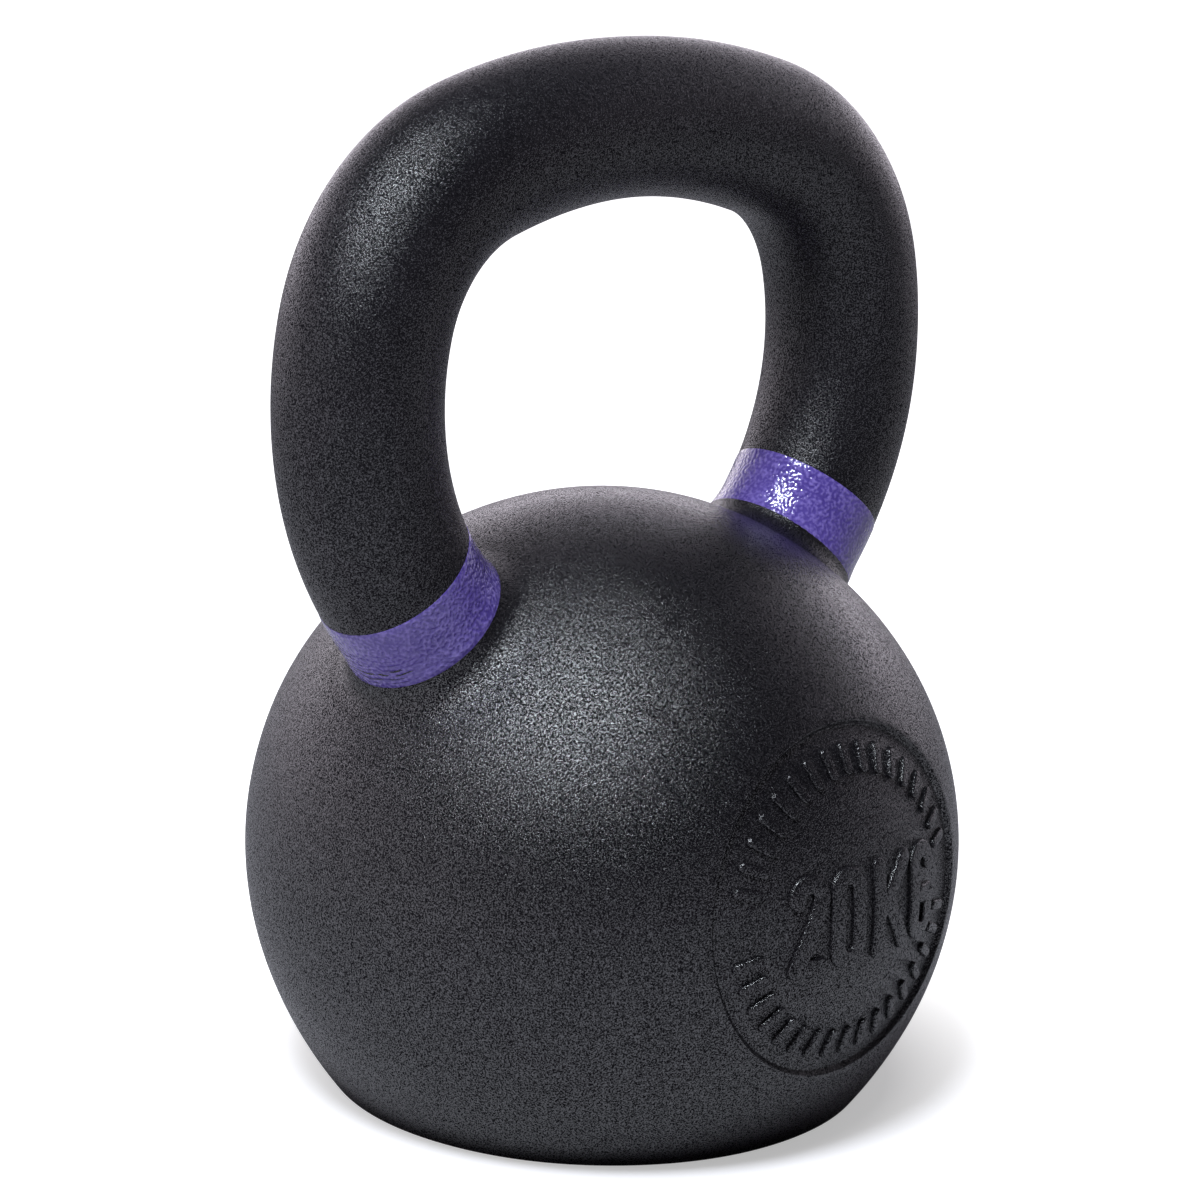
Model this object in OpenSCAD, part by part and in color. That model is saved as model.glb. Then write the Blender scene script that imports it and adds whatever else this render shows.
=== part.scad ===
// Cast-iron kettlebell, 20 kg.
// The origin is the centre of the flat foot, +Z is up, X runs across the handle
// and the badge faces -Y.

/* [Bell] */
// Diameter of the ball
ball_d = 171; // [160:1:182]
// Height of the ball's centre above the foot
ball_height = 57.5; // [52:0.5:62]
// Width of the bevel round the foot's edge
foot_bevel = 1; // [0.4:0.1:3]
// Slope of that bevel
foot_bevel_angle = 24; // [15:1:35]

/* [Handle] */
// Diameter of the round bar
bar_d = 38; // [33:0.5:40]
// Lean of each horn away from vertical where it leaves the ball
horn_angle = 43; // [38:0.5:46]
// Fillet between the ball and each horn
root_fillet = 4.5; // [2:0.5:8]
// Centreline radius of each horn
horn_bend_r = 75; // [66:1:84]
// Angle above level at which the horn's bend passes into the shoulder's
shoulder_start = 14; // [8:0.5:20]
// Centreline radius of each shoulder
shoulder_bend_r = 46; // [38:0.5:52]
// Angle above level at which the shoulder's bend passes into the grip's
grip_start = 73; // [66:0.5:78]

/* [Colour bands] */
// Height of each painted band along its horn
band_width = 15.5; // [8:0.5:20]
// Build-up of paint on the bar
band_coat = 0.3; // [0.2:0.05:0.6]

/* [Badge] */
// Diameter of the sunken badge field
badge_d = 82; // [78:1:88]
// Depth of the field below the ball's surface
badge_depth = 1.4; // [0.8:0.1:2]
// Angle by which the badge sits above the ball's middle
badge_lift = 3; // [0:0.5:6]
// Height of the raised marks above the field
mark_relief = 1; // [0.6:0.1:1.4]
// Height of the weight mark's characters
mark_height = 23.6; // [20:0.2:25]
// Width of a narrow character
mark_width = 10.8; // [10:0.2:11.2]
// Width of a character's stroke
stroke_w = 4.2; // [3:0.1:4.4]
// Gap between characters
mark_gap = 0.5; // [0.4:0.1:1.2]
// Gap between the figures and the letters
word_gap = 2.7; // [1:0.1:3.5]
// Shift of the weight mark to the right of the badge's centre
mark_shift = 2.4; // [0:0.2:3]
// Drop of the weight mark below the badge's centre
mark_drop = 1.5; // [0:0.5:4]
// Radius of the ring on which the border bars stand
bar_ring_r = 33; // [33:0.5:34]
// Length of a border bar along the badge's radius
border_bar_length = 7; // [5:0.5:7.5]
// Width of a border bar
border_bar_w = 2.4; // [1.6:0.1:3]
// Number of border bars in the upper arc
upper_bars = 17; // [5:1:21]
// Number of border bars in the lower arc
lower_bars = 17; // [5:1:21]
// Angle that each arc of border bars covers
bar_arc = 152; // [120:2:160]

/* [Hidden] */
$fn = 120;

coat_colour = "#3b3a40";
band_colour = "#5c509a";

ball_r = ball_d / 2;
bar_r = bar_d / 2;

// The bevel's inner corner, across from the ball's axis
foot_flat_r = sqrt(pow(ball_r, 2) - pow(ball_height, 2)) - foot_bevel;

// The root fillet's circle touches the ball and the bar from outside. Distances are
// from the ball's centre: across the horn's axis, then along it.
root_x = bar_r + root_fillet;
horn_start = sqrt(pow(ball_r + root_fillet, 2) - pow(root_x, 2));
root_scale = ball_r / (ball_r + root_fillet);
root_depth = 8;

// Centres of the handle's three bends, in the XZ plane from the ball's centre.
// Each bend is tangent to the next, and the grip's centre is on the middle plane.
horn_centre = horn_start * [sin(horn_angle), cos(horn_angle)]
            + horn_bend_r * [-cos(horn_angle), sin(horn_angle)];
shoulder_centre = horn_centre
            + (horn_bend_r - shoulder_bend_r) * [cos(shoulder_start), sin(shoulder_start)];
grip_bend_r = shoulder_bend_r + shoulder_centre[0] / cos(grip_start);
grip_centre = shoulder_centre
            - (grip_bend_r - shoulder_bend_r) * [cos(grip_start), sin(grip_start)];

badge_r = badge_d / 2;
field_r = ball_r - badge_depth;
cut = 1;

// Centreline sizes of a character, whose own origin is the middle of its foot.
stroke_r = stroke_w / 2;
turn_r = mark_width / 2 - stroke_r;
foot_y = stroke_r;
head_y = mark_height - stroke_r;
low_turn_y = foot_y + turn_r;
high_turn_y = head_y - turn_r;
letter_k_width = mark_width + 3.2;
letter_k_waist = 0.42 * mark_height;
letter_k_fork = 0.3;
letter_g_tongue = 0.46 * mark_height;
mark_total = 3 * mark_width + letter_k_width + 2 * mark_gap + word_gap;
mark_left = mark_shift - mark_total / 2;
mark_foot = -mark_height / 2 - mark_drop;
// The figure two's turn runs on past level, to a neck slightly fuller than its strokes.
neck_angle = -20;
neck_fullness = 1.03;

module at_ball() {
    translate([0, 0, ball_height]) children();
}

module on_horn_axis() {
    at_ball() rotate([0, horn_angle, 0]) children();
}

// A bend of round tube in the XZ plane, from one angle above level to another.
module bend(centre, radius, from, to, tube_r, bore_r = 0) {
    at_ball()
        translate([centre[0], 0, centre[1]])
            rotate([90, 0, 0])
                rotate([0, 0, from])
                    rotate_extrude(angle = to - from)
                        translate([radius, 0])
                            difference() {
                                circle(r = tube_r);
                                if (bore_r > 0) circle(r = bore_r);
                            }
}

module bell_profile() {
    outside = ball_r + cut;
    intersection() {
        circle(r = ball_r);
        polygon([
            [0, -ball_height],
            [foot_flat_r, -ball_height],
            [outside, -ball_height + (outside - foot_flat_r) * tan(foot_bevel_angle)],
            [outside, outside],
            [0, outside]
        ]);
    }
}

module horn_root() {
    on_horn_axis()
        rotate_extrude()
            difference() {
                polygon([
                    [0, root_scale * horn_start - root_depth],
                    root_scale * [root_x, horn_start],
                    [root_x, horn_start],
                    [0, horn_start]
                ]);
                translate([root_x, horn_start]) circle(r = root_fillet);
            }
}

// Badge features are drawn flat, with +Y up, and stand out along -Y.
module badge_frame() {
    at_ball() rotate([-badge_lift, 0, 0]) children();
}

module bell() {
    color(coat_colour)
        difference() {
            union() {
                at_ball() rotate_extrude() bell_profile();
                horn_root();
                mirror([1, 0, 0]) horn_root();
            }
            badge_frame()
                difference() {
                    rotate([90, 0, 0]) cylinder(r = badge_r, h = ball_r + cut);
                    sphere(r = field_r);
                }
        }
}

module horn() {
    color(coat_colour)
        bend(horn_centre, horn_bend_r, -horn_angle, shoulder_start, bar_r);
}

module shoulder() {
    color(coat_colour)
        bend(shoulder_centre, shoulder_bend_r, shoulder_start, grip_start, bar_r);
}

module grip() {
    color(coat_colour)
        bend(grip_centre, grip_bend_r, grip_start, 180 - grip_start, bar_r);
}

// The band's two edges lie square to the horn's axis at the root.
module band() {
    color(band_colour)
        intersection() {
            bend(horn_centre, horn_bend_r, -horn_angle, shoulder_start,
                 bar_r + band_coat, bar_r);
            on_horn_axis()
                translate([0, 0, horn_start]) cylinder(r = bar_d, h = band_width);
        }
}

// Raises a flat outline from the badge's field to the marks' height.
module raised_mark() {
    color(coat_colour)
        badge_frame()
            intersection() {
                rotate([90, 0, 0]) linear_extrude(ball_r + cut) children();
                difference() {
                    sphere(r = field_r + mark_relief);
                    sphere(r = field_r);
                }
            }
}

// A straight stroke. An end that meets nothing else is rounded.
module stroke(from, to, round_from = false, round_to = false) {
    run = to - from;
    translate(from)
        rotate(atan2(run[1], run[0])) {
            translate([0, -stroke_r]) square([norm(run), stroke_w]);
            if (round_from) circle(r = stroke_r);
            if (round_to) translate([norm(run), 0]) circle(r = stroke_r);
        }
}

// A round turn of a character about (0, y), counter-clockwise from one angle.
module turn(y, from, sweep) {
    steps = 8;
    reach = 2 * mark_width;
    fan = [for (i = [0:steps]) reach * [cos(from + sweep * i / steps),
                                        sin(from + sweep * i / steps)]];
    translate([0, y])
        intersection() {
            difference() {
                circle(r = turn_r + stroke_r);
                circle(r = turn_r - stroke_r);
            }
            polygon(concat([[0, 0]], fan));
        }
}

module figure_two() {
    neck = [0, high_turn_y] + turn_r * [cos(neck_angle), sin(neck_angle)];
    corner = [-turn_r, foot_y];
    turn(high_turn_y, neck_angle, 180 - neck_angle);
    translate([-turn_r, high_turn_y]) circle(r = stroke_r);
    translate(neck) circle(r = neck_fullness * stroke_r);
    stroke(neck, corner);
    stroke(corner, [turn_r, foot_y], true, true);
}

module figure_zero() {
    turn(high_turn_y, 0, 180);
    turn(low_turn_y, 180, 180);
    stroke([-turn_r, low_turn_y], [-turn_r, high_turn_y]);
    stroke([turn_r, low_turn_y], [turn_r, high_turn_y]);
}

module letter_k() {
    stem_x = stroke_r - letter_k_width / 2;
    arm_end = [letter_k_width / 2 - stroke_r, head_y];
    leg_end = [letter_k_width / 2 - stroke_r, foot_y];
    waist = [stem_x, letter_k_waist];
    fork = waist + letter_k_fork * (arm_end - waist);
    stroke([stem_x, foot_y], [stem_x, head_y], true, true);
    stroke(waist, arm_end, false, true);
    stroke(fork, leg_end, false, true);
}

module letter_g() {
    turn(high_turn_y, 0, 180);
    translate([turn_r, high_turn_y]) circle(r = stroke_r);
    turn(low_turn_y, 180, 180);
    stroke([-turn_r, low_turn_y], [-turn_r, high_turn_y]);
    stroke([turn_r, low_turn_y], [turn_r, letter_g_tongue]);
    stroke([turn_r, letter_g_tongue], [0, letter_g_tongue], true, true);
}

module weight_figures() {
    raised_mark()
        translate([mark_left + mark_width / 2, mark_foot]) {
            figure_two();
            translate([mark_width + mark_gap, 0]) figure_zero();
        }
}

module unit_letters() {
    letters_left = mark_left + 2 * mark_width + mark_gap + word_gap;
    raised_mark()
        translate([letters_left, mark_foot]) {
            translate([letter_k_width / 2, 0]) letter_k();
            translate([letter_k_width + mark_gap + mark_width / 2, 0]) letter_g();
        }
}

// An arc of round-ended bars about the angle "middle".
module border_bars(count, middle) {
    half_run = (border_bar_length - border_bar_w) / 2;
    raised_mark()
        for (i = [0:count - 1])
            rotate(middle - bar_arc / 2 + bar_arc * i / (count - 1))
                translate([bar_ring_r, 0]) {
                    square([2 * half_run, border_bar_w], center = true);
                    for (end = [-1, 1])
                        translate([end * half_run, 0]) circle(d = border_bar_w);
                }
}

bell();
mirror([1, 0, 0]) horn();  // left_horn
horn();  // right_horn
mirror([1, 0, 0]) shoulder();  // left_shoulder
shoulder();  // right_shoulder
grip();
mirror([1, 0, 0]) band();  // left_band
band();  // right_band
weight_figures();
unit_letters();
border_bars(upper_bars, 90);  // upper_border_bars
border_bars(lower_bars, 270);  // lower_border_bars
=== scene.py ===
import math
import bpy
import bmesh
from mathutils import Matrix, Vector, noise


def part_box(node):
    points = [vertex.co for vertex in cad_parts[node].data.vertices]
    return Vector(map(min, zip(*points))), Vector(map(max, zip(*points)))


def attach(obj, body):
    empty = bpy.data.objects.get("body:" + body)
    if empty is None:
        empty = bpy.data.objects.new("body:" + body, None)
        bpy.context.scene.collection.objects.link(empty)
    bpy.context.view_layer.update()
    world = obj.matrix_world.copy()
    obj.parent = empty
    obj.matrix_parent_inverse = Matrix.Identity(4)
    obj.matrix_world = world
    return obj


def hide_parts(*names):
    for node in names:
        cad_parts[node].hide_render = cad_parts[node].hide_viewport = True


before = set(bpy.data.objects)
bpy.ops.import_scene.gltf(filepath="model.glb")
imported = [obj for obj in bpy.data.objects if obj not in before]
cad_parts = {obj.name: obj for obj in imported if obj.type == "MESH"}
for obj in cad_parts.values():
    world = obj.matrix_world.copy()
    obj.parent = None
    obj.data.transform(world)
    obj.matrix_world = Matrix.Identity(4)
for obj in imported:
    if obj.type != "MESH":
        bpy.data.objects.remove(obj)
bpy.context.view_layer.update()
print("frame loaded")

mm = 0.001
up = Vector((0, 0, 1))

# What the whole kettlebell is measured from
bellLow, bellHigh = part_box("bell")
gripLow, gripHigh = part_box("grip")
ballRadius = (bellHigh[0] - bellLow[0]) / 2
ballCentre = Vector((0, 0, bellHigh[2] - ballRadius))
barRadius = (gripHigh[1] - gripLow[1]) / 2
foundry = bpy.data.collections.new("kettlebell")
bpy.context.scene.collection.children.link(foundry)


def isVert(part):
    return isinstance(part, bmesh.types.BMVert)


def isEdge(part):
    return isinstance(part, bmesh.types.BMEdge)


def faceOutward(bm):
    # on a very small shape the recalculated normals can all end up pointing inwards
    bmesh.ops.recalc_face_normals(bm, faces=bm.faces)
    if bm.calc_volume(signed=True) < 0:
        bmesh.ops.reverse_faces(bm, faces=bm.faces)


def inOrder(parts, placeOf):
    # cuts and extrusions number their parts differently each time, so they are numbered by place
    ranked = sorted(parts, key=lambda part: [round(c, 7) for c in placeOf(part)])
    for i, part in enumerate(ranked):
        part.index = i
    parts.sort()


def newPiece(name, bm, coat, slotName, *stoodFor):
    inOrder(bm.verts, lambda v: v.co)
    inOrder(bm.faces, lambda f: f.calc_center_median())
    mesh = bpy.data.meshes.new(name)
    bm.to_mesh(mesh)
    bm.free()
    mesh.shade_smooth()
    mesh.materials.append(coat)
    piece = bpy.data.objects.new(name, mesh)
    foundry.objects.link(piece)
    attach(piece, "root")
    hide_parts(*stoodFor)
    print(name, len(mesh.polygons), "faces")
    return piece


def growRing(bm, ring, moves):
    # extrudes a ring of edges once for each move, a function that gives a vertex's new place
    for move in moves:
        made = bmesh.ops.extrude_edge_only(bm, edges=ring)["geom"]
        fresh = {v for v in made if isVert(v)}
        for v in fresh:
            v.co = move(v.co)
        ring = [e for e in made if isEdge(e) and e.verts[0] in fresh and e.verts[1] in fresh]
    return ring


def cutOff(bm, point, outward):
    # cuts away all that lies beyond a plane and gives back the edges of the cut
    whole = bm.verts[:] + bm.edges[:] + bm.faces[:]
    cut = bmesh.ops.bisect_plane(bm, geom=whole, dist=1e-7, plane_co=point,
                                 plane_no=outward, clear_outer=True)
    return [e for e in cut["geom_cut"] if isEdge(e)]


casting = {
    "bellyPower": (-0.006, -0.038, 0.032),   # how the ball departs from round, low to high
    "swell": 0.16 * mm,                      # slow unevenness of the cast skin
    "swellSize": 34 * mm,
}


def castSwell(place):
    return casting["swell"] * noise.noise(place / casting["swellSize"])


def settle(place):
    # the real ball is a little flatter on top and fuller low down, and never quite even
    out = place.normalized()
    high = out.z
    second, third, fourth = casting["bellyPower"]
    share = 1 + second * high ** 2 + third * high ** 3 + fourth * high ** 4
    return place * share + out * castSwell(place)


# the bar is three arcs on each side: horn, shoulder and half of the grip
handle = {
    "lean": math.radians(43),
    "rootAt": 86.9 * mm,                      # from the ball's centre, where the fillet ends
    "hornBend": 75 * mm,
    "shoulderFrom": math.radians(14),
    "shoulderBend": 46 * mm,
    "gripFrom": math.radians(73),
    "girth": (1.0, 1.0, 0.995, 0.965),       # bar's thickness from root to crown
    "ringStep": 1.9 * mm,
    "around": 96,
}


def along(angle):
    return Vector((math.cos(angle), 0, math.sin(angle)))


hornAxis = Vector((math.sin(handle["lean"]), 0, math.cos(handle["lean"])))
rootPlace = hornAxis * handle["rootAt"]
hornCentre = rootPlace - along(-handle["lean"]) * handle["hornBend"]
shoulderCentre = hornCentre + \
    along(handle["shoulderFrom"]) * (handle["hornBend"] - handle["shoulderBend"])
gripBend = handle["shoulderBend"] + shoulderCentre.x / math.cos(handle["gripFrom"])
gripCentre = shoulderCentre - along(handle["gripFrom"]) * (gripBend - handle["shoulderBend"])
bends = [
    (hornCentre, handle["hornBend"], -handle["lean"], handle["shoulderFrom"]),
    (shoulderCentre, handle["shoulderBend"], handle["shoulderFrom"], handle["gripFrom"]),
    (gripCentre, gripBend, handle["gripFrom"], math.pi / 2),
]
halfLength = sum(radius * (to - start) for centre, radius, start, to in bends)


def onBar(place):
    # nearest point of the bar's centreline, and how far that is from root (0) to crown (1)
    side = -1 if place.x < 0 else 1
    mirrored = Vector((abs(place.x), 0, place.z))
    run = 0
    for centre, radius, start, to in bends:
        ray = mirrored - centre
        angle = math.atan2(ray.z, ray.x)
        if angle <= to or to == math.pi / 2:
            break
        run += radius * (to - start)
    middle = centre + along(angle) * radius
    share = (run + radius * (angle - start)) / halfLength
    return Vector((side * middle.x, 0, middle.z)), min(max(share, 0), 1)


def girthAt(share):
    # eases between the four thicknesses
    steps = handle["girth"]
    step = min(int(share * 3), 2)
    part = share * 3 - step
    part = part * part * (3 - 2 * part)
    return steps[step] * (1 - part) + steps[step + 1] * part


def sweep(bm, section, side, pieces):
    # spins a section's edges through (centre, radius, angle) one after another
    for centre, radius, angle in pieces:
        steps = max(2, round(abs(angle) * radius / handle["ringStep"]))
        pivot = Vector((side * centre.x, 0, centre.z))
        made = bmesh.ops.spin(bm, geom=section, cent=pivot, axis=(0, 1, 0), angle=angle,
                              steps=steps, use_duplicate=False)["geom_last"]
        section = [e for e in made if isEdge(e)]
    return section


def barSection(bm, side, offset, radius, around):
    # a circle across the horn, a distance below the bend's start
    axis = Vector((side * hornAxis.x, 0, hornAxis.z))
    place = Vector((side * rootPlace.x, 0, rootPlace.z)) - axis * offset
    turn = up.rotation_difference(axis).to_matrix().to_4x4()
    bmesh.ops.create_circle(bm, segments=around, radius=radius, matrix=Matrix.Translation(place) @ turn)
    return bm.edges[:]


def node(tree, kind, inputs=(), **settings):
    made = tree.nodes.new(kind)
    for key, value in settings.items():
        setattr(made, key, value)
    for key, value in dict(inputs).items():
        if isinstance(value, bpy.types.NodeSocket):
            tree.links.new(value, made.inputs[key])
        else:
            made.inputs[key].default_value = value
    return made


def newMaterial(name):
    material = bpy.data.materials.new(name)
    material.use_nodes = True
    tree = material.node_tree
    shader = tree.nodes["Principled BSDF"]
    place = node(tree, "ShaderNodeTexCoord").outputs["Object"]
    return material, tree, shader, place


def cloud(tree, place, size, detail=2.0, roughness=0.5, distortion=0.0):
    # noise whose patches are about the given size
    return node(tree, "ShaderNodeTexNoise", {"Vector": place, "Scale": 1 / size, "Detail": detail,
                "Roughness": roughness, "Distortion": distortion}).outputs["Fac"]


def ranged(tree, value, low, high, fromLow=0.3, fromHigh=0.7):
    return node(tree, "ShaderNodeMapRange", {"Value": value, "From Min": fromLow, "From Max": fromHigh,
                "To Min": low, "To Max": high}).outputs["Result"]


def blendColour(tree, share, first, second):
    made = node(tree, "ShaderNodeMix", data_type="RGBA")
    tree.links.new(share, made.inputs["Factor"])
    for socket, colour in ((made.inputs[6], first), (made.inputs[7], second)):
        if isinstance(colour, bpy.types.NodeSocket):
            tree.links.new(colour, socket)
        else:
            socket.default_value = (*colour, 1)
    return made.outputs[2]


coatLook = {
    "deep": (0.0060, 0.0056, 0.0070),
    "open": (0.0097, 0.0089, 0.0110),
    "crestGlint": (0.043, 0.040, 0.047),
    "grainSize": 0.37 * mm,
    "peelSize": 2.2 * mm,
    "patchSize": 45 * mm,
    "grainRise": 0.20 * mm,
    "peelRise": 0.09 * mm,
    "rough": (0.20, 0.26),
    "crestGlintFrom": (0.54, 0.72),         # share of the grain whose crests are painted lighter, as painted glints
    "sheenFrom": (0.42, 0.62),         # and that mirrors the light
    "bell": (1.0, 1.8),                # how light the coat is, and how strongly it mirrors
    # painted light: the handle wears a lighter copy of the same coat, its colour raised and its
    # mirroring weakened to match how light falls on the bar
    "handle": (1.35, 1.12),
    "footShadeTone": (0.0025, 0.0025, 0.003),
    "footShadeLeast": 0.25,
    "footShadeRise": (2 * mm, 6.5 * mm),    # painted shade: the coat's colour is darkened and its mirroring dimmed just above the floor, standing in for the contact shadow
}


def powderCoat(name, body, sheen):
    material, tree, shader, place = newMaterial(name)
    grain = cloud(tree, place, coatLook["grainSize"], 2.0, 0.6)
    peel = cloud(tree, place, coatLook["peelSize"], 1.0)
    patch = cloud(tree, place, coatLook["patchSize"], 2.0)
    # body scales the coat's colour; above 1, as on the handle, it paints in light that the bar lacks
    deep, light, crestGlint = [tuple(body * part for part in coatLook[tint])
                          for tint in ("deep", "open", "crestGlint")]
    tone = blendColour(tree, ranged(tree, patch, 0, 1), deep, light)
    # painted highlight: the grain is the coat's own texture, but its crests are coloured lighter to
    # stand in for light glinting off them
    speck = blendColour(tree, ranged(tree, grain, 0, 1, *coatLook["crestGlintFrom"]), tone, crestGlint)
    # painted shade: just above the floor the coat is blended to a near-black tone and mirrors less,
    # where the contact shadow falls
    height = node(tree, "ShaderNodeSeparateXYZ", {"Vector": place}).outputs["Z"]
    foot = ranged(tree, height, coatLook["footShadeLeast"], 1, *coatLook["footShadeRise"])
    speck = blendColour(tree, foot, coatLook["footShadeTone"], speck)
    crests = ranged(tree, grain, 0, sheen, *coatLook["sheenFrom"])
    mirrored = node(tree, "ShaderNodeMath", {0: crests, 1: foot}, operation="MULTIPLY")
    tree.links.new(speck, shader.inputs["Base Color"])
    tree.links.new(mirrored.outputs["Value"], shader.inputs["Specular IOR Level"])
    tree.links.new(ranged(tree, patch, *coatLook["rough"]), shader.inputs["Roughness"])
    low = node(tree, "ShaderNodeBump", {"Height": peel, "Distance": coatLook["peelRise"],
               "Strength": 1.0})
    high = node(tree, "ShaderNodeBump", {"Height": grain, "Distance": coatLook["grainRise"],
                "Strength": 1.0, "Normal": low.outputs["Normal"]})
    tree.links.new(high.outputs["Normal"], shader.inputs["Normal"])
    return material


enamelLook = {
    "deep": (0.094, 0.060, 0.335),
    "open": (0.150, 0.102, 0.455),
    "crestGlint": (0.27, 0.20, 0.64),
    "grainSize": 0.80 * mm,
    "patchSize": 9 * mm,
    "grainRise": 0.24 * mm,
    "rough": (0.09, 0.14),
    "crestGlintFrom": (0.42, 0.72),
    "specular": 0.5,
    "clearCoat": 0.6,
    "clearRough": 0.02,
}


def violetEnamel(name):
    material, tree, shader, place = newMaterial(name)
    grain = cloud(tree, place, enamelLook["grainSize"], 0.6, 0.5)
    patch = cloud(tree, place, enamelLook["patchSize"], 3.0)
    tone = blendColour(tree, ranged(tree, patch, 0, 1), enamelLook["deep"], enamelLook["open"])
    # painted highlight: the enamel's grain is real, but its crests are coloured lighter to stand in for
    # sparkle and sheen
    speck = blendColour(tree, ranged(tree, grain, 0, 1, *enamelLook["crestGlintFrom"]), tone,
                        enamelLook["crestGlint"])
    tree.links.new(speck, shader.inputs["Base Color"])
    tree.links.new(ranged(tree, patch, *enamelLook["rough"]), shader.inputs["Roughness"])
    shader.inputs["Specular IOR Level"].default_value = enamelLook["specular"]
    shader.inputs["Coat Weight"].default_value = enamelLook["clearCoat"]
    shader.inputs["Coat Roughness"].default_value = enamelLook["clearRough"]
    high = node(tree, "ShaderNodeBump", {"Height": grain, "Distance": enamelLook["grainRise"],
                "Strength": 1.0})
    tree.links.new(high.outputs["Normal"], shader.inputs["Normal"])
    tree.links.new(high.outputs["Normal"], shader.inputs["Coat Normal"])
    return material


bellCoat = powderCoat("blackPowderCoat", *coatLook["bell"])
# painted light: a lighter copy of the bell's coat, used on the handle
handlePaintedLightCoat = powderCoat("handlePaintedLightPowderCoat", *coatLook["handle"])
violetPaint = violetEnamel("violetBandEnamel")
print("materials mixed")


# the lower edge of each band lies on the fillet, so the bell's own shape needs these too
band = {
    "build": 0.20 * mm,
    "edgeBuild": 0.05 * mm,
    "edgeRun": 1.4 * mm,
    "flare": 0.7 * mm,        # how far the fillet already spreads at the band's lower edge
    "flareRise": 7 * mm,
    "lowAt": 86.7 * mm,
    "lowLean": math.radians(41),
    "highAt": 102.4 * mm,
    "highLean": math.radians(39),
    "tuck": 1.2 * mm,         # how far its edges turn into the bar
    "below": 3 * mm,          # drawn this far past the horn's start and on round the bend, then cut
    "sweep": math.radians(18),
    "around": 240,
    "rowStep": 0.18 * mm,
}


badge = {
    "lift": math.radians(3.1),
    "radius": 41 * mm,
    "depth": 1.4 * mm,
    "wall": 0.75 * mm,         # width of the step from field to ball, seen from the front
    "fieldRings": 20,
    "wallRings": 8,
    "relief": 0.95 * mm,
}
badgeAxis = Vector((0, -math.cos(badge["lift"]), math.sin(badge["lift"])))
badgeUp = Vector((0, math.sin(badge["lift"]), math.cos(badge["lift"])))
fieldRadius = ballRadius - badge["depth"]

bell = {
    "around": 240,
    "rings": 150,
    "edgeRadius": 1.3 * mm,
    "edgeSteps": 6,
    "filletSteps": 10,
    "filletReach": 27.2 * mm,      # out from the horn's axis to where the fillet meets the ball
    "filletFrom": math.radians(73),    # the fillet's slope against the horn's axis where it starts
    "collarSteps": (1, 2, 3.5, 5),     # mm above the root, on the inside of the painted band
}


def bellSide():
    # half outline through the badge's axis, from the middle of its field to the back of the ball
    outer = math.asin(badge["radius"] / ballRadius)
    inner = math.asin((badge["radius"] - badge["wall"]) / ballRadius)
    points = []
    for i in range(badge["fieldRings"]):
        points.append((inner * i / badge["fieldRings"], fieldRadius))
    for i in range(badge["wallRings"] + 1):
        part = i / badge["wallRings"]
        rise = part * part * (3 - 2 * part)
        points.append((inner + (outer - inner) * part, fieldRadius + badge["depth"] * rise))
    ballRings = bell["rings"] - badge["fieldRings"]
    for i in range(1, ballRings + 1):
        points.append((outer + (math.pi - outer) * i / ballRings, ballRadius))
    return [(radius * math.sin(angle), radius * math.cos(angle)) for angle, radius in points]


def footMoves():
    # rolls the wall under to the flat foot, then runs in across it
    low = -ballCentre.z
    edge = bell["edgeRadius"]
    lean = math.asin(ballCentre.z / ballRadius)
    angles = [lean + (math.pi / 2 - lean) * i / bell["edgeSteps"] for i in range(bell["edgeSteps"] + 1)]

    def roll(last, this):
        def move(place):
            out = Vector((place.x, place.y, 0)).normalized()
            return place + out * edge * (math.cos(this) - math.cos(last)) \
                - up * edge * (math.sin(this) - math.sin(last))
        return move

    def shrink(share):
        return lambda place: Vector((place.x * share, place.y * share, low))

    return [roll(*pair) for pair in zip(angles, angles[1:])] + [shrink(0.97), shrink(0.8), shrink(0.5)]


def rootMoves(axis):
    # sweeps the ball's skin up a hollow fillet, then along the inside of the painted band
    start = bell["filletFrom"]
    end = math.atan(2 * band["flare"] / band["flareRise"])
    count = bell["filletSteps"]
    angles = [start + (end - start) * i / count for i in range(count + 1)]
    inShare = [(math.cos(a) - math.cos(start)) / (math.cos(end) - math.cos(start)) for a in angles]
    upShare = [(math.sin(start) - math.sin(a)) / (math.sin(start) - math.sin(end)) for a in angles]
    girth = barRadius * girthAt(0)

    def climb(i):
        left = (1 - inShare[i + 1]) / (1 - inShare[i])
        leftUp = (1 - upShare[i + 1]) / (1 - upShare[i])

        def move(place):
            height = place.dot(axis)
            out = place - axis * height
            edge = girth + band["flare"]
            return axis * (handle["rootAt"] + (height - handle["rootAt"]) * leftUp) \
                + out.normalized() * (edge + (out.length - edge) * left)
        return move

    def follow(above):
        def move(place):
            out = place - axis * place.dot(axis)
            spread = band["flare"] * (1 - above / band["flareRise"]) ** 2
            return axis * (handle["rootAt"] + above) + out.normalized() * (girth + spread - 0.05 * mm)
        return move

    return [climb(i) for i in range(count)] + [follow(i * mm) for i in bell["collarSteps"]]


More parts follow.
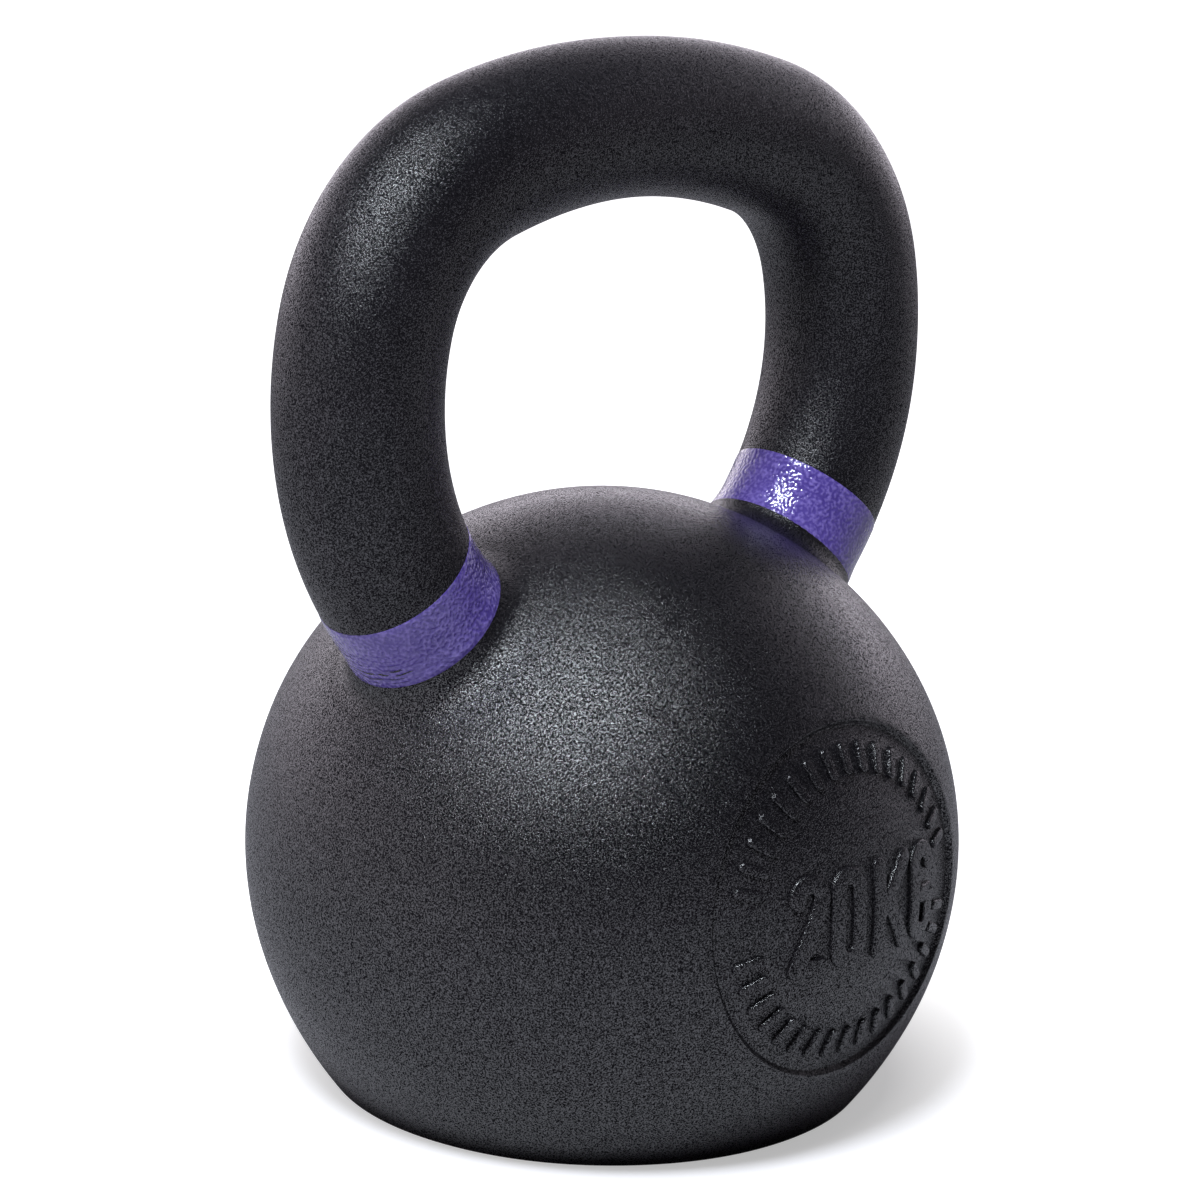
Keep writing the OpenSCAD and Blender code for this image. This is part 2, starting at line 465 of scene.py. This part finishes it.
def castBell():
    bm = bmesh.new()
    verts = [bm.verts.new((reach, 0, height)) for reach, height in bellSide()]
    edges = [bm.edges.new(pair) for pair in zip(verts, verts[1:])]
    bmesh.ops.spin(bm, geom=verts + edges, cent=(0, 0, 0), axis=(0, 0, 1), angle=math.tau,
                   steps=bell["around"], use_merge=True, use_duplicate=False)
    bmesh.ops.remove_doubles(bm, verts=bm.verts, dist=1e-6)
    turn = up.rotation_difference(badgeAxis).to_matrix()
    bmesh.ops.rotate(bm, verts=bm.verts, cent=(0, 0, 0), matrix=turn)
    for v in bm.verts:
        v.co = settle(v.co)

    lean = math.asin(ballCentre.z / ballRadius)
    footCut = -ballCentre.z + bell["edgeRadius"] * (1 - math.sin(lean))
    ring = cutOff(bm, Vector((0, 0, footCut)), -up)
    ring = growRing(bm, ring, footMoves())
    bmesh.ops.contextual_create(bm, geom=ring)

    cutAt = math.sqrt((0.993 * ballRadius) ** 2 - bell["filletReach"] ** 2)
    for side in (-1, 1):
        axis = Vector((side * hornAxis.x, 0, hornAxis.z))
        ring = cutOff(bm, axis * cutAt, axis)
        ring = growRing(bm, ring, rootMoves(axis))
        bmesh.ops.contextual_create(bm, geom=ring)
    bmesh.ops.translate(bm, verts=bm.verts, vec=ballCentre)
    faceOutward(bm)
    return newPiece("castBell", bm, bellCoat, "coated_iron", "bell")


castBell()


def castHandle():
    bm = bmesh.new()
    section = barSection(bm, -1, 0, barRadius, handle["around"])
    bmesh.ops.contextual_create(bm, geom=section)
    rise = handle["shoulderFrom"] + handle["lean"]
    bendOver = handle["gripFrom"] - handle["shoulderFrom"]
    crown = math.pi - 2 * handle["gripFrom"]
    section = sweep(bm, section, -1, [(hornCentre, handle["hornBend"], rise),
                                      (shoulderCentre, handle["shoulderBend"], bendOver),
                                      (gripCentre, gripBend, crown)])
    section = sweep(bm, section, 1, [(shoulderCentre, handle["shoulderBend"], bendOver),
                                     (hornCentre, handle["hornBend"], rise)])
    bmesh.ops.contextual_create(bm, geom=section)
    for v in bm.verts:
        middle, share = onBar(v.co)
        out = v.co - middle
        v.co = middle + out * girthAt(share) + out.normalized() * castSwell(v.co)
    bmesh.ops.translate(bm, verts=bm.verts, vec=ballCentre)
    faceOutward(bm)
    return newPiece("castHandle", bm, handlePaintedLightCoat, "coated_iron",
                    "left_horn", "left_shoulder", "grip", "right_shoulder", "right_horn")


castHandle()


wrinkle = {
    "toward": Vector((-0.995, -0.1, 0)),     # the side of the bar where the masking tape puckered
    "spread": 0.45,
    "height": 10 * mm,
    "depth": 0.50 * mm,                      # through the paint, so the black coat under it shows as dark lines: real creases, with painted shade in them
    "length": 9 * mm,
    "apart": 1.3 * mm,
}


def wrinkleAt(place, out, above):
    # fine creases that run round the bar, strongest at the band's lower edge
    near = (out.dot(wrinkle["toward"]) - 1 + wrinkle["spread"]) / wrinkle["spread"]
    low = 1 - above / wrinkle["height"]
    if near <= 0 or low <= 0:
        return 0
    turn = math.atan2(out.y, out.x) % math.tau
    run = turn * barRadius / wrinkle["length"]
    rows = above / wrinkle["apart"]
    drift = noise.noise(Vector((run, rows / 3, 4.7)))          # makes the creases wander
    breaks = noise.noise(Vector((run * 1.7, rows, 9.1)))       # and break off
    wave = abs(math.sin(math.pi * (rows + 1.3 * drift)))
    line = min(1, max(0, 1.6 - wave * 2.6)) * min(1, max(0, 1 + breaks * 4))
    return wrinkle["depth"] * line * min(1, near * 2) * min(1, low * 1.6)


def paintBand(name, side, stoodFor, wrinkled=0):
    bm = bmesh.new()
    section = barSection(bm, side, band["below"], barRadius, band["around"])
    rows = round(band["below"] / band["rowStep"])
    axis = Vector((side * hornAxis.x, 0, hornAxis.z))
    section = growRing(bm, section, [lambda place: place + axis * band["below"] / rows] * rows)
    angle = band["sweep"]
    bmesh.ops.spin(bm, geom=section, cent=Vector((side * hornCentre.x, 0, hornCentre.z)),
                   axis=(0, 1, 0), angle=-side * angle, use_duplicate=False,
                   steps=round(angle * handle["hornBend"] / band["rowStep"]))
    rims = []
    for at, lean, way in ((band["lowAt"], band["lowLean"], -1), (band["highAt"], band["highLean"], 1)):
        plane = Vector((side * math.sin(lean), 0, math.cos(lean)))
        rims.append((cutOff(bm, plane * at, plane * way), plane, at))
    (_, low, lowAt), (_, high, highAt) = rims
    for v in bm.verts:
        middle, share = onBar(v.co)
        out = (v.co - middle).normalized()
        above = v.co.dot(low) - lowAt
        inside = min(above, highAt - v.co.dot(high), band["edgeRun"]) / band["edgeRun"]
        fullness = math.sin(max(inside, 0) * math.pi / 2)
        coat = band["edgeBuild"] + (band["build"] - band["edgeBuild"]) * fullness
        spread = band["flare"] * max(0, 1 - above / band["flareRise"]) ** 2
        crease = wrinkled * wrinkleAt(v.co, out, above) * max(inside, 0)
        v.co = middle + out * (barRadius * girthAt(share) + coat + spread + castSwell(v.co) - crease)

    def tuckIn(place):
        return place - (place - onBar(place)[0]).normalized() * band["tuck"]

    inner = [edge for rim, *_ in rims for edge in growRing(bm, rim, [tuckIn])]
    bmesh.ops.bridge_loops(bm, edges=inner)
    bmesh.ops.translate(bm, verts=bm.verts, vec=ballCentre)
    faceOutward(bm)
    return newPiece(name, bm, violetPaint, "band_paint", stoodFor)


paintBand("leftBandPaint", -1, "left_band", 1)
paintBand("rightBandPaint", 1, "right_band")


mark = {
    "height": 23.6 * mm,
    "width": 10.8 * mm,
    "wideWidth": 14 * mm,
    "stroke": 4.2 * mm,
    "gap": 0.5 * mm,
    "wordGap": 2.7 * mm,
    "shift": 2.4 * mm,
    "drop": 1.5 * mm,
    "sink": 0.4 * mm,
    "softness": 0.5 * mm,
    "flank": 0.12 * mm,         # how much wider a stroke is at its foot
    "step": 0.8 * mm,
    "cornerSteps": 4,
    "endSteps": 14,
    "weld": 0.02 * mm,
}
borderBar = {
    "ring": 33 * mm,
    "length": 7 * mm,
    "width": 2.4 * mm,
    "count": 17,
    "arc": math.radians(152),
}


def strokeSide(width):
    # half of a stroke's section, from its crest round to under its middle: (across, height)
    soft = mark["softness"]
    rise = badge["relief"]
    points = [(0, rise)]
    for i in range(mark["cornerSteps"] + 1):
        angle = math.pi / 2 * i / mark["cornerSteps"]
        points.append((width / 2 - soft + soft * math.sin(angle), rise - soft + soft * math.cos(angle)))
    points.append((width / 2 + mark["flank"], -mark["sink"]))
    points.append((0, -mark["sink"]))
    return points


def drawStroke(marks, start, heading, moves, width):
    # a round-ended raised stroke: moves are ("run", length) or ("turn", radius, angle to the left)
    bm = bmesh.new()

    def placed(way):
        across = Vector((-math.sin(heading), math.cos(heading), 0)) * way
        verts = [bm.verts.new(Vector((*start, 0)) + across * reach + up * height)
                 for reach, height in strokeSide(width)]
        return [bm.edges.new(pair) for pair in zip(verts, verts[1:])]

    def dome(edges, centre):
        bmesh.ops.spin(bm, geom=edges, cent=centre, axis=up, angle=math.pi, steps=mark["endSteps"],
                       use_duplicate=False)

    left, right, back = placed(1), placed(-1), placed(1)
    place = Vector((*start, 0))
    for move in moves:
        ahead = Vector((math.cos(heading), math.sin(heading), 0))
        leftward = Vector((-ahead.y, ahead.x, 0))
        if move[0] == "run":
            count = max(1, round(move[1] / mark["step"]))
            step = ahead * move[1] / count
            left = growRing(bm, left, [lambda co: co + step] * count)
            right = growRing(bm, right, [lambda co: co + step] * count)
            place = place + ahead * move[1]
        else:
            radius, angle = move[1:]
            centre = place + leftward * radius * (1 if angle > 0 else -1)
            count = max(3, round(abs(angle) * (radius + width / 2) / mark["step"]))
            for edges in (left, right):
                made = bmesh.ops.spin(bm, geom=edges, cent=centre, axis=up, angle=angle, steps=count,
                                      use_duplicate=False)["geom_last"]
                edges[:] = [e for e in made if isEdge(e)]
            place = centre + Matrix.Rotation(angle, 3, "Z") @ (place - centre)
            heading += angle
    if (place - Vector((*start, 0))).length > mark["step"]:     # a closed loop has no ends
        dome(back, Vector((*start, 0)))
        dome(right, place)
    bmesh.ops.remove_doubles(bm, verts=bm.verts, dist=mark["weld"])
    faceOutward(bm)
    stroke = bpy.data.meshes.new("stroke")
    bm.to_mesh(stroke)
    bm.free()
    marks.from_mesh(stroke)
    bpy.data.meshes.remove(stroke)


def raiseMark(name, draw, stoodFor):
    bm = bmesh.new()
    draw(bm)
    for v in bm.verts:
        radius = fieldRadius + v.co.z
        ahead = math.sqrt(radius ** 2 - v.co.x ** 2 - v.co.y ** 2)
        place = Vector((v.co.x, 0, 0)) + badgeUp * v.co.y + badgeAxis * ahead
        v.co = settle(place) + ballCentre
    return newPiece(name, bm, bellCoat, "badge_relief", stoodFor)


half = mark["stroke"] / 2
turnRadius = mark["width"] / 2 - half
footLine = -mark["height"] / 2 - mark["drop"] + half
headLine = footLine + mark["height"] - mark["stroke"]
lowTurn = footLine + turnRadius
highTurn = headLine - turnRadius
east, north, west, south = 0, math.pi / 2, math.pi, -math.pi / 2


def drawTwo(bm, middle):
    # the slanting run leaves the upper turn where it is tangent to it
    corner = Vector((-turnRadius, footLine - highTurn))
    slack = math.atan2(corner.y, corner.x) + math.acos(turnRadius / corner.length)
    run = math.sqrt(corner.length_squared - turnRadius ** 2)
    drawStroke(bm, (middle - turnRadius, highTurn), north,
               [("turn", turnRadius, slack - math.pi), ("run", run)], mark["stroke"])
    drawStroke(bm, (middle - turnRadius, footLine), east, [("run", 2 * turnRadius)], mark["stroke"])


def drawZero(bm, middle):
    side = highTurn - lowTurn
    drawStroke(bm, (middle - turnRadius, lowTurn), north,
               [("run", side), ("turn", turnRadius, -math.pi), ("run", side),
                ("turn", turnRadius, -math.pi)], mark["stroke"])


markLength = 3 * mark["width"] + mark["wideWidth"] + 2 * mark["gap"] + mark["wordGap"]
markLeft = mark["shift"] - markLength / 2


def drawFigures(bm):
    drawTwo(bm, markLeft + mark["width"] / 2)
    drawZero(bm, markLeft + 1.5 * mark["width"] + mark["gap"])


def drawK(bm, middle, width):
    stem = middle - width / 2 + half
    arm = middle + width / 2 - half
    waist = Vector((stem, footLine - half + 0.42 * mark["height"]))
    reach = Vector((arm, headLine)) - waist
    fork = waist + 0.3 * reach
    leg = Vector((arm, footLine)) - fork
    drawStroke(bm, (stem, footLine), north, [("run", headLine - footLine)], mark["stroke"])
    drawStroke(bm, waist, math.atan2(reach.y, reach.x), [("run", reach.length)], mark["stroke"])
    drawStroke(bm, fork, math.atan2(leg.y, leg.x), [("run", leg.length)], mark["stroke"])


def drawG(bm, middle):
    side = highTurn - lowTurn
    tongue = footLine - half + 0.46 * mark["height"]
    drawStroke(bm, (middle + turnRadius, highTurn), north,
               [("turn", turnRadius, math.pi), ("run", side), ("turn", turnRadius, math.pi),
                ("run", tongue - lowTurn)], mark["stroke"])
    drawStroke(bm, (middle + turnRadius, tongue), west, [("run", turnRadius)], mark["stroke"])


def drawLetters(bm):
    left = markLeft + 2 * mark["width"] + mark["gap"] + mark["wordGap"]
    wide = mark["wideWidth"]
    drawK(bm, left + wide / 2, wide)
    drawG(bm, left + wide + mark["gap"] + mark["width"] / 2)


def drawBorder(middle):
    def draw(bm):
        run = borderBar["length"] - borderBar["width"]
        for i in range(borderBar["count"]):
            angle = middle + borderBar["arc"] * (i / (borderBar["count"] - 1) - 0.5)
            out = Vector((math.cos(angle), math.sin(angle)))
            start = out * (borderBar["ring"] - run / 2)
            drawStroke(bm, start, angle, [("run", run)], borderBar["width"])
    return draw


raiseMark("weightFigures", drawFigures, "weight_figures")
raiseMark("unitLetters", drawLetters, "unit_letters")
raiseMark("upperBorderBars", drawBorder(north), "upper_border_bars")
raiseMark("lowerBorderBars", drawBorder(south), "lower_border_bars")
print("kettlebell cast and painted")


studio = {
    "floorSize": 12,
    "floorDrop": 0.2 * mm,
    "floorTone": (0.62, 0.605, 0.63),
    "floorGlow": (0.44, 1.1),
    "glowFrom": (64 * mm, 106 * mm),
    "shadowMiddle": Vector((5, -5, 0)) * mm,       # what the glow is measured from
    "roomTone": (1.03, 0.96, 1.07),
    "roomDark": 0.035,                 # what the bell sees in front of it and above
    "roomBright": 2.05,                # and behind it, where the pale backdrop hangs
    "roomSeen": 1.15,                  # what the camera sees past the floor
    "backdropWay": Vector((0.55, 0.835, 0)),
    "backdropEdge": (0.1, 0.75),       # how it fades to the sides
    "backdropTop": (0.1, 0.62),        # and upwards
    "panelsAim": Vector((0, 0, 0.11)),
    "keyFrom": Vector((-0.451, -0.201, 0.871)),
    "keyDistance": 1.5,
    "keySize": (0.48, 0.33),
    "keyTilt": math.radians(30),       # how far its long side climbs to the camera's right
    "keyPower": 20.5,
    "keyTone": (0.93, 1.0, 1.07),
    "fillFrom": Vector((-0.953, 0.253, 0.15)),
    "fillDistance": 1.6,
    "fillSize": (1.6, 1.6),
    "fillPower": 3.6,
    "fillTone": (1.02, 0.97, 1.06),
}

camera = {
    "azimuth": math.radians(-45.23),
    "elevation": math.radians(13.93),
    "roll": math.radians(1.663),
    "distance": 9.651,          # in ball radii
    "aimAcross": -0.0248,       # in ball radii
    "aimUp": 0.6857,
    "lens": 104.54,
}


def buildFloor():
    bpy.ops.mesh.primitive_plane_add(size=studio["floorSize"], location=(0, 0, -studio["floorDrop"]))
    floor = bpy.context.object
    floor.name = "studioFloor"
    material, tree, shader, place = newMaterial("paleFloor")
    shader.inputs["Base Color"].default_value = (*studio["floorTone"], 1)
    shader.inputs["Roughness"].default_value = 0.9
    shader.inputs["Specular IOR Level"].default_value = 0.1
    # painted light: the camera alone sees the paper glow, brighter away from the bell, which paints the
    # fall-off of the bell's shadow onto the floor
    seen = node(tree, "ShaderNodeLightPath").outputs["Is Camera Ray"]
    away = node(tree, "ShaderNodeVectorMath", {0: place, 1: studio["shadowMiddle"]},
                operation="DISTANCE").outputs["Value"]
    glow = ranged(tree, away, *studio["floorGlow"], *studio["glowFrom"])
    shader.inputs["Emission Color"].default_value = (1, 1, 1, 1)
    tree.links.new(ranged(tree, seen, 0, glow, 0, 1), shader.inputs["Emission Strength"])
    floor.data.materials.append(material)


def lightRoom():
    scene = bpy.context.scene
    world = bpy.data.worlds.new("paleRoom")
    scene.world = world
    world.use_nodes = True
    tree = world.node_tree
    tree.nodes.clear()
    direction = node(tree, "ShaderNodeTexCoord").outputs["Generated"]
    facing = node(tree, "ShaderNodeVectorMath", {0: direction, 1: studio["backdropWay"]},
                  operation="DOT_PRODUCT")
    height = node(tree, "ShaderNodeSeparateXYZ", {"Vector": direction}).outputs["Z"]
    top = ranged(tree, height, studio["roomBright"], studio["roomDark"], *studio["backdropTop"])
    backdrop = ranged(tree, facing.outputs["Value"], studio["roomDark"], top, *studio["backdropEdge"])
    seen = node(tree, "ShaderNodeLightPath").outputs["Is Camera Ray"]
    strength = node(tree, "ShaderNodeMapRange", {"Value": seen, "To Min": backdrop,
                    "To Max": studio["roomSeen"]})
    room = node(tree, "ShaderNodeBackground", {"Color": (*studio["roomTone"], 1),
                "Strength": strength.outputs["Result"]})
    node(tree, "ShaderNodeOutputWorld", {"Surface": room.outputs["Background"]})
    scene.view_settings.view_transform = "Standard"


def addPanel(name, direction, distance, size, tilt, power, tone):
    light = bpy.data.lights.new(name, "AREA")
    light.shape = "ELLIPSE"
    light.size, light.size_y = size
    light.energy = power
    light.color = tone
    lamp = bpy.data.objects.new(name, light)
    bpy.context.scene.collection.objects.link(lamp)
    facing = direction.normalized()
    level = Vector((math.cos(camera["azimuth"]), math.sin(camera["azimuth"]), 0))
    long = level * math.cos(tilt) + up * math.sin(tilt)
    long = (long - facing * long.dot(facing)).normalized()
    turn = Matrix((long, facing.cross(long), facing)).transposed().to_4x4()
    lamp.matrix_world = Matrix.Translation(studio["panelsAim"] + facing * distance) @ turn


buildFloor()
lightRoom()
addPanel("keyPanel", studio["keyFrom"], studio["keyDistance"], studio["keySize"], studio["keyTilt"],
         studio["keyPower"], studio["keyTone"])
addPanel("fillPanel", studio["fillFrom"], studio["fillDistance"], studio["fillSize"], 0,
         studio["fillPower"], studio["fillTone"])


def placeCamera():
    azimuth, elevation, roll = camera["azimuth"], camera["elevation"], camera["roll"]
    back = Vector((math.sin(azimuth) * math.cos(elevation), -math.cos(azimuth) * math.cos(elevation),
                   math.sin(elevation)))
    right = Vector((math.cos(azimuth), math.sin(azimuth), 0))
    above = back.cross(right)
    across = right * math.cos(roll) + above * math.sin(roll)
    above = above * math.cos(roll) - right * math.sin(roll)
    target = ballCentre + ballRadius * (right * camera["aimAcross"] + up * camera["aimUp"])
    lens = bpy.data.cameras.new("studioCamera")
    lens.lens = camera["lens"]
    lens.sensor_width = 36
    shot = bpy.data.objects.new("studioCamera", lens)
    bpy.context.scene.collection.objects.link(shot)
    turn = Matrix((across, above, back)).transposed().to_4x4()
    shot.matrix_world = Matrix.Translation(target + back * camera["distance"] * ballRadius) @ turn
    bpy.context.scene.camera = shot


placeCamera()
print("studio set")
